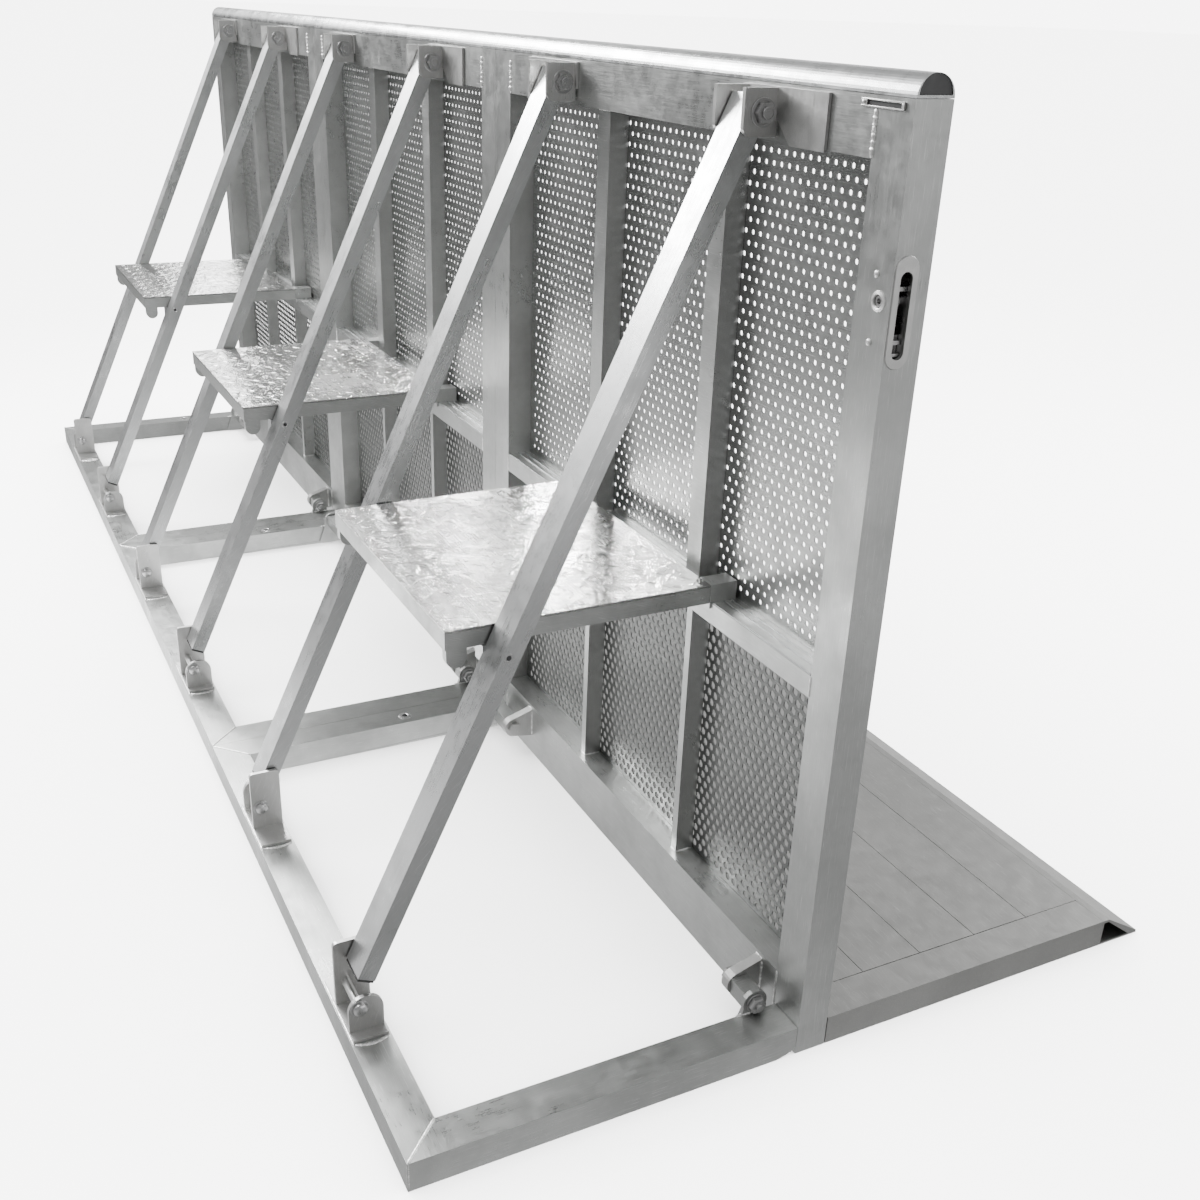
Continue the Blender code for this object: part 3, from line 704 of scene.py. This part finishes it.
def welds():
    upright = upright_welds()
    rear = rear_welds()
    foot = foot_welds()
    step = step_welds()
    for bay, x in CENTRES.items():
        add(f"upright_welds_{bay}", upright, "weld", "uprights", x)
        add(f"hinge_lug_welds_{bay}", foot, "weld", "uprights", x)
        add(f"rear_frame_welds_{bay}", rear, "weld", f"rear_frame_{bay}", x)
        add(f"step_welds_{bay}", step, "weld", f"step_{bay}", x)


# ---------------------------------------------------------------- fasteners and eyelets

HEX_PROFILE = ((0, 0.0), (0.0118, 0.0), (0.0128, 0.0008), (0.0128, 0.0066), (0.0112, 0.0082), (0, 0.0082))


def washer(made, centre, axis, inner, outer, thick):
    """A flat ring with eased outer edges."""
    edge = thick * 0.35
    profile = ((inner, 0), (outer - edge, 0), (outer, edge), (outer, thick - edge), (outer - edge, thick))
    turned(made, (*profile, (inner, thick), (inner, 0)), centre, axis, 32)


def hinge_fasteners(sign):
    """A washer and bolt head on the outer side of the hinge tab."""
    made = bmesh.new()
    face = (sign * (ARM_INNER + 0.0014), *HINGE)
    axis = outward(sign)
    washer(made, face, axis, 0.006, 0.0145, 0.0016)
    beyond = (face[0] + sign * 0.0017, *HINGE)
    turned(made, HEX_PROFILE, beyond, axis, 6, 0.5)
    thread_end = ((0, 0.0078), (0.0058, 0.0078), (0.0058, 0.0112), (0.0046, 0.0122), (0, 0.0122))
    turned(made, thread_end, beyond, axis, 20)
    return mesh_of("hinge_fasteners", made)


def foot_fasteners(sign):
    """A washer and a domed head on each end of the pin through the foot bracket."""
    made = bmesh.new()
    for out in (-1, 1):
        axis = outward(out * sign)
        x = STRUT_CENTRE + out * (CHEEK_REACH + 0.0003)
        centre = (sign * x, *FOOT_PIN)
        washer(made, centre, axis, 0.0062, 0.0125, 0.0014)
        dome = [(0.0094 * math.cos(t), 0.0052 + 0.0030 * math.sin(t)) for t in (0, 0.5, 1.0, 1.35)]
        turned(made, ((0.0062, 0.0016), (0.0094, 0.0016), *dome, (0, 0.0084)), centre, axis, 24)
    return mesh_of("foot_fasteners", made)


def bolt_washers(sign):
    """Washers round the pivot bolt's hexagons, against the bracket's ears, and a ring on each tip."""
    made = bmesh.new()
    pivot = STRUT_PIVOT[1:]
    low, high = span("strut_bolt_right", 0)
    ring = ((0.0062, 0), (0.0070, 0.0004), (0.0070, 0.0008), (0.0062, 0.0012), (0.0062, 0))
    for end, out in ((low, -1), (high, 1)):
        axis = outward(out * sign)
        x = end - out * 0.011
        washer(made, (sign * x, *pivot), axis, 0.0128, 0.0162, 0.0014)
        turned(made, ring, (sign * (x + out * 0.0105), *pivot), axis, 24)
    return mesh_of("bolt_washers", made)


def strut_eyes(sign):
    """The end of the peg that keeps the step on its rest: a flanged eye on the strut's outer face."""
    made = bmesh.new()
    face = (sign * (STRUT_OUTER + LIFT), *STEP_PEG)
    flange = ((0.0034, 0.0003), (0.0042, 0.0011), (0.0058, 0.0011), (0.0064, 0.0003), (0.0064, -0.001))
    turned(made, flange, face, outward(sign))
    return mesh_of("strut_eyes", made)


def strut_plug(side):
    """The black plug in the strut's open foot, square to the strut."""
    centre = SIDES[side] * STRUT_CENTRE
    flange_half = STRUT_WIDTH / 2 - 0.0008
    body_half = flange_half - 0.003
    made = bmesh.new()
    flange = (-STRUT_LENGTH - 0.0042, -STRUT_LENGTH - LIFT)
    body = (-STRUT_LENGTH, -STRUT_LENGTH + 0.012)
    put_box(made, (centre - flange_half, centre + flange_half), (-0.0117, 0.0117), flange)
    put_box(made, (centre - body_half, centre + body_half), (-0.0092, 0.0092), body)
    lean = Matrix.Translation((0, *STRUT_PIVOT[1:])) @ Matrix.Rotation(-LEAN, 4, "X")
    bmesh.ops.transform(made, matrix=lean, verts=made.verts)
    return mesh_of("strut_foot_plug", made, smooth=False)


def arm_eyelet():
    """A flanged eyelet on the left arm's top."""
    made = bmesh.new()
    bore = ((0.0052, -0.0005), (0.0052, 0.0014))
    flange = ((0.0064, 0.0022), (0.0092, 0.0020), (0.0122, 0.0008), (0.0126, -0.0005))
    turned(made, (*bore, *flange), EYELET, "Z", 32)
    return mesh_of("arm_eyelet", made)


def dark_disc(name, centre, axis, radius, sides=20):
    """The shadow inside a bore, as a shallow black plug."""
    made = bmesh.new()
    profile = ((0, 0.0004), (radius * 0.6, 0.0005), (radius, 0.0002), (radius, -0.001))
    turned(made, profile, centre, axis, sides)
    return mesh_of(name, made)


def fasteners():
    """The small steel pieces, the black foot plugs and the dark discs of painted shadow in the bores, one
    set for each side of each bay.
    """
    for side, sign in SIDES.items():
        hinge = hinge_fasteners(sign)
        foot = foot_fasteners(sign)
        washers = bolt_washers(sign)
        eyes = strut_eyes(sign)
        face = (sign * (STRUT_OUTER + LIFT), *STEP_PEG)
        # Painted shadow: a dark disc in the bore of the strut's peg eye.
        bore = dark_disc("strut_bore", face, outward(sign), 0.0036)
        foot_plug = strut_plug(side)
        for bay, x in CENTRES.items():
            plug = add(f"strut_foot_plug_{side}_{bay}", foot_plug, "plastic", f"strut_{side}_{bay}", x)
            soften(plug, 0.0006)
            add(f"hinge_fasteners_{side}_{bay}", hinge, "steel", f"rear_frame_{bay}", x)
            add(f"foot_fasteners_{side}_{bay}", foot, "steel", f"rear_frame_{bay}", x)
            add(f"bolt_washers_{side}_{bay}", washers, "steel", "uprights", x)
            add(f"strut_eye_{side}_{bay}", eyes, "steel", f"strut_{side}_{bay}", x)
            add(f"strut_bore_{side}_{bay}", bore, "plastic", f"strut_{side}_{bay}", x)
    eyelet = arm_eyelet()
    # Painted shadow: a dark disc in the eyelet's bore, where there is only shade.
    eyelet_plug = dark_disc("eyelet_plug", EYELET, "Z", 0.0053)
    for bay, x in CENTRES.items():
        add(f"arm_eyelet_{bay}", eyelet, "steel", f"rear_frame_{bay}", x)
        add(f"arm_eyelet_plug_{bay}", eyelet_plug, "plastic", f"rear_frame_{bay}", x)


# ---------------------------------------------------------------- step relief

RELIEF_PITCH = 0.0245
RELIEF_LENGTH = 0.0105
RELIEF_WIDTH = 0.0026
RELIEF_HEIGHT = 0.0007


def tread_relief():
    """A worn chequer pattern: low lens-shaped ridges that lean one way and the other by turns."""
    low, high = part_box("step_tread_b")
    width, depth = high[0] - low[0], high[1] - low[1]
    made = bmesh.new()
    sides = 12
    columns = int(width / RELIEF_PITCH) - 1
    rows = int(depth / RELIEF_PITCH) - 1
    for i in range(columns + 1):
        for j in range(rows + 1):
            x = (i - columns / 2) * RELIEF_PITCH
            y = (low[1] + high[1]) / 2 + (j - rows / 2) * RELIEF_PITCH
            turn = math.radians(45 if (i + j) % 2 else -45)
            along = Vector((math.cos(turn), math.sin(turn), 0))
            across = Vector((-math.sin(turn), math.cos(turn), 0))
            wear = 0.72 + 0.28 * math.sin(i * 2.3 + j * 1.1) * math.sin(j * 0.7 - i * 0.4)
            middle = Vector((x, y, high[2] - 0.0001))
            rim = []
            for k in range(sides):
                angle = 2 * math.pi * k / sides
                reach = RELIEF_LENGTH * math.cos(angle)
                side = RELIEF_WIDTH * math.sin(angle) * (1 - 0.35 * abs(math.cos(angle)))
                rim.append(made.verts.new(middle + along * reach + across * side))
            top = middle + Vector((0, 0, RELIEF_HEIGHT * wear))
            crest = [made.verts.new(top + (corner.co - middle) * 0.55) for corner in rim]
            for k in range(sides):
                after = (k + 1) % sides
                made.faces.new((rim[k], rim[after], crest[after], crest[k]))
            made.faces.new(crest)
            made.faces.new(rim[::-1])
    return mesh_of("tread_relief", made)


def treads(shiny):
    """The ridges on each step, which the linked lamps light like the tread itself."""
    relief = tread_relief()
    for bay, x in CENTRES.items():
        ridges = add(f"tread_relief_{bay}", relief, "tread", f"step_{bay}", x)
        shiny.objects.link(ridges)


# ---------------------------------------------------------------- the near post's fittings

def stadium(half_width, low, high, steps=12):
    """Points (across, up) of an upright slot with round ends."""
    points = []
    for centre, start in ((high - half_width, 0.0), (low + half_width, math.pi)):
        for k in range(steps + 1):
            turn = start + math.pi * k / steps
            points.append((half_width * math.cos(turn), centre + half_width * math.sin(turn)))
    return points


def latch_cover():
    """A raised plate round the slot in the near post's end face."""
    low, high = LATCH[2] - 0.059, LATCH[2] + 0.033
    inner = stadium(SLOT_HALF + 0.0003, low - 0.0003, high + 0.0003)
    outer = stadium(0.0150, low - 0.010, high + 0.016)
    lip = stadium(0.0158, low - 0.0108, high + 0.0168)
    made = bmesh.new()
    levels = ((lip, 0.0), (outer, 0.0012), (inner, 0.0012), (inner, 0.0))
    rings = []
    for ring, out in levels:
        rings.append([made.verts.new((END_FACE + LIFT + out, SLOT_Y + y, z)) for y, z in ring])
    count = len(inner)
    for here, after in zip(rings, rings[1:] + rings[:1]):
        for k in range(count):
            made.faces.new((here[k], here[(k + 1) % count], after[(k + 1) % count], after[k]))
    return mesh_of("latch_cover_plate", made)


def latch_guides():
    """Cross bars behind the slot's lower half, below the hook's swing, and a guide above it."""
    made = bmesh.new()
    across = (SLOT_Y - 0.009, SLOT_Y + 0.008)
    # Depths behind the post's end face, and heights from the key: two bars, their backing, and the guide.
    plans = (
        ((0.011, 0.0045), (-0.0575, -0.0535)),
        ((0.011, 0.0045), (-0.0445, -0.0395)),
        ((0.0125, 0.0112), (-0.058, -0.035)),
        ((0.0125, 0.006), (0.0115, 0.0165)),
    )
    for depths, heights in plans:
        x = [END_FACE - depth for depth in depths]
        z = [LATCH[2] + height for height in heights]
        put_box(made, x, across, z)
    return mesh_of("latch_guides", made, smooth=False)


def rivets():
    """Domed rivets either side of the key socket, and a ring round the socket."""
    made = bmesh.new()
    for z in (LATCH[2] + 0.027, LATCH[2] - 0.045):
        dome = [(0.0040 * math.cos(t), 0.0004 + 0.0018 * math.sin(t)) for t in (0, 0.4, 0.8, 1.2)]
        centre = (LATCH[0] - 0.008, REAR_FACE - LIFT, z)
        turned(made, ((0.0040, -0.0005), *dome, (0, 0.0022)), centre, "-Y", 20)
    socket = (LATCH[0], REAR_FACE - LIFT, LATCH[2])
    ring = ((0.0072, -0.0005), (0.0072, 0.0012), (0.0082, 0.0018), (0.0112, 0.0010), (0.0118, -0.0005))
    turned(made, ring, socket, "-Y", 28)
    return mesh_of("post_rivets", made)


def slotted_bar():
    """The slotted metal bar under the handrail at the near post."""
    made = bmesh.new()
    x = (END_FACE - 0.084, END_FACE - 0.014)
    z = BAR_HEIGHTS
    y = (REAR_FACE - 0.0026, REAR_FACE - LIFT)
    slot_x = (x[0] + 0.010, x[1] - 0.004)
    slot_z = (z[0] + 0.0015, z[1] - 0.0015)
    end_z = (slot_z[0] - 0.0001, slot_z[1] + 0.0001)
    put_box(made, x, y, (z[0], slot_z[0]))
    put_box(made, x, y, (slot_z[1], z[1]))
    put_box(made, (x[0], slot_x[0]), y, end_z)
    put_box(made, (slot_x[1], x[1]), y, end_z)
    screw = ((0.0024, 0), (0.0024, 0.0008), (0.0014, 0.0014), (0, 0.0014))
    turned(made, screw, (x[0] + 0.005, y[0], sum(z) / 2), "-Y", 16)
    return mesh_of("slotted_bar", made), slot_x, slot_z


def rail_lips():
    """Raised lips along the mid rail's top, between the posts, the ribs and the step's stubs."""
    made = bmesh.new()
    top = UPPER_WINDOW[0] - 0.0003
    rail = (top + LIFT, top + 0.0024)
    clear = 0.002
    half = 0.0011
    stub = (STEP_HALF - STEP_BAR - clear, STEP_HALF + clear)
    rib = (RIB_CENTRE - UPPER_RIB_HALF - clear, RIB_CENTRE + UPPER_RIB_HALF + clear)
    edge = WINDOW_HALF - clear
    for y, blocks in ((-0.0225, (stub,)), (-0.0050, (rib, stub)), (0.0070, (rib, stub))):
        left_blocks = [(-far, -near) for near, far in reversed(blocks)]
        stops = [(-edge, -edge), *left_blocks, *blocks, (edge, edge)]
        for (_, start), (end, _) in zip(stops, stops[1:]):
            put_box(made, (start, end), (y - half, y + half), rail)
    return mesh_of("mid_rail_lips", made, smooth=False)


def near_post():
    """The latch's cover and guides, the rivets, and the slotted bar with a dark box of painted shadow in its
    slot.
    """
    add("latch_cover_plate", latch_cover(), "bracket", "uprights")
    soften(add("latch_guides", latch_guides(), "steel", "uprights"), 0.0006)
    add("post_rivets", rivets(), "weld", "uprights")
    bar, slot_x, slot_z = slotted_bar()
    soften(add("slotted_bar", bar, "bracket", "uprights"), 0.0004)
    # Painted shadow: a black box filling the back of the bar's slot.
    made = bmesh.new()
    put_box(made, slot_x, (REAR_FACE - 0.0008, REAR_FACE - LIFT), slot_z)
    soften(add("slotted_bar_insert", mesh_of("slotted_bar_insert", made), "plastic", "uprights"), 0.0003)


def far_plug():
    """The plastic plug in the handrail's far end, like the near one."""
    low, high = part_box("handrail_end_cap")
    far_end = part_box("handrail_a")[0][0]
    inset = END_FACE - high[0]
    radius = (high[1] - low[1]) / 2
    made = bmesh.new()
    arc = [math.pi * k / 24 for k in range(25)]
    rings = []
    for x in (far_end + inset, far_end + inset + high[0] - low[0]):
        rings.append([made.verts.new((x, radius * math.cos(t), low[2] + radius * math.sin(t))) for t in arc])
    count = len(arc)
    for k in range(count):
        made.faces.new((rings[0][k], rings[0][(k + 1) % count], rings[1][(k + 1) % count], rings[1][k]))
    made.faces.new(rings[0][::-1])
    made.faces.new(rings[1])
    soften(add("handrail_far_plug", mesh_of("handrail_far_plug", made), "plastic", "uprights"), 0.0005)


def mid_rails():
    lips = rail_lips()
    for bay, x in CENTRES.items():
        soften(add(f"mid_rail_lips_{bay}", lips, "rail", "uprights", x), 0.0005)


camera()
floor()
shiny_treads = studio()
cad_looks()
sheets()
welds()
fasteners()
treads(shiny_treads)
mid_rails()
near_post()
far_plug()
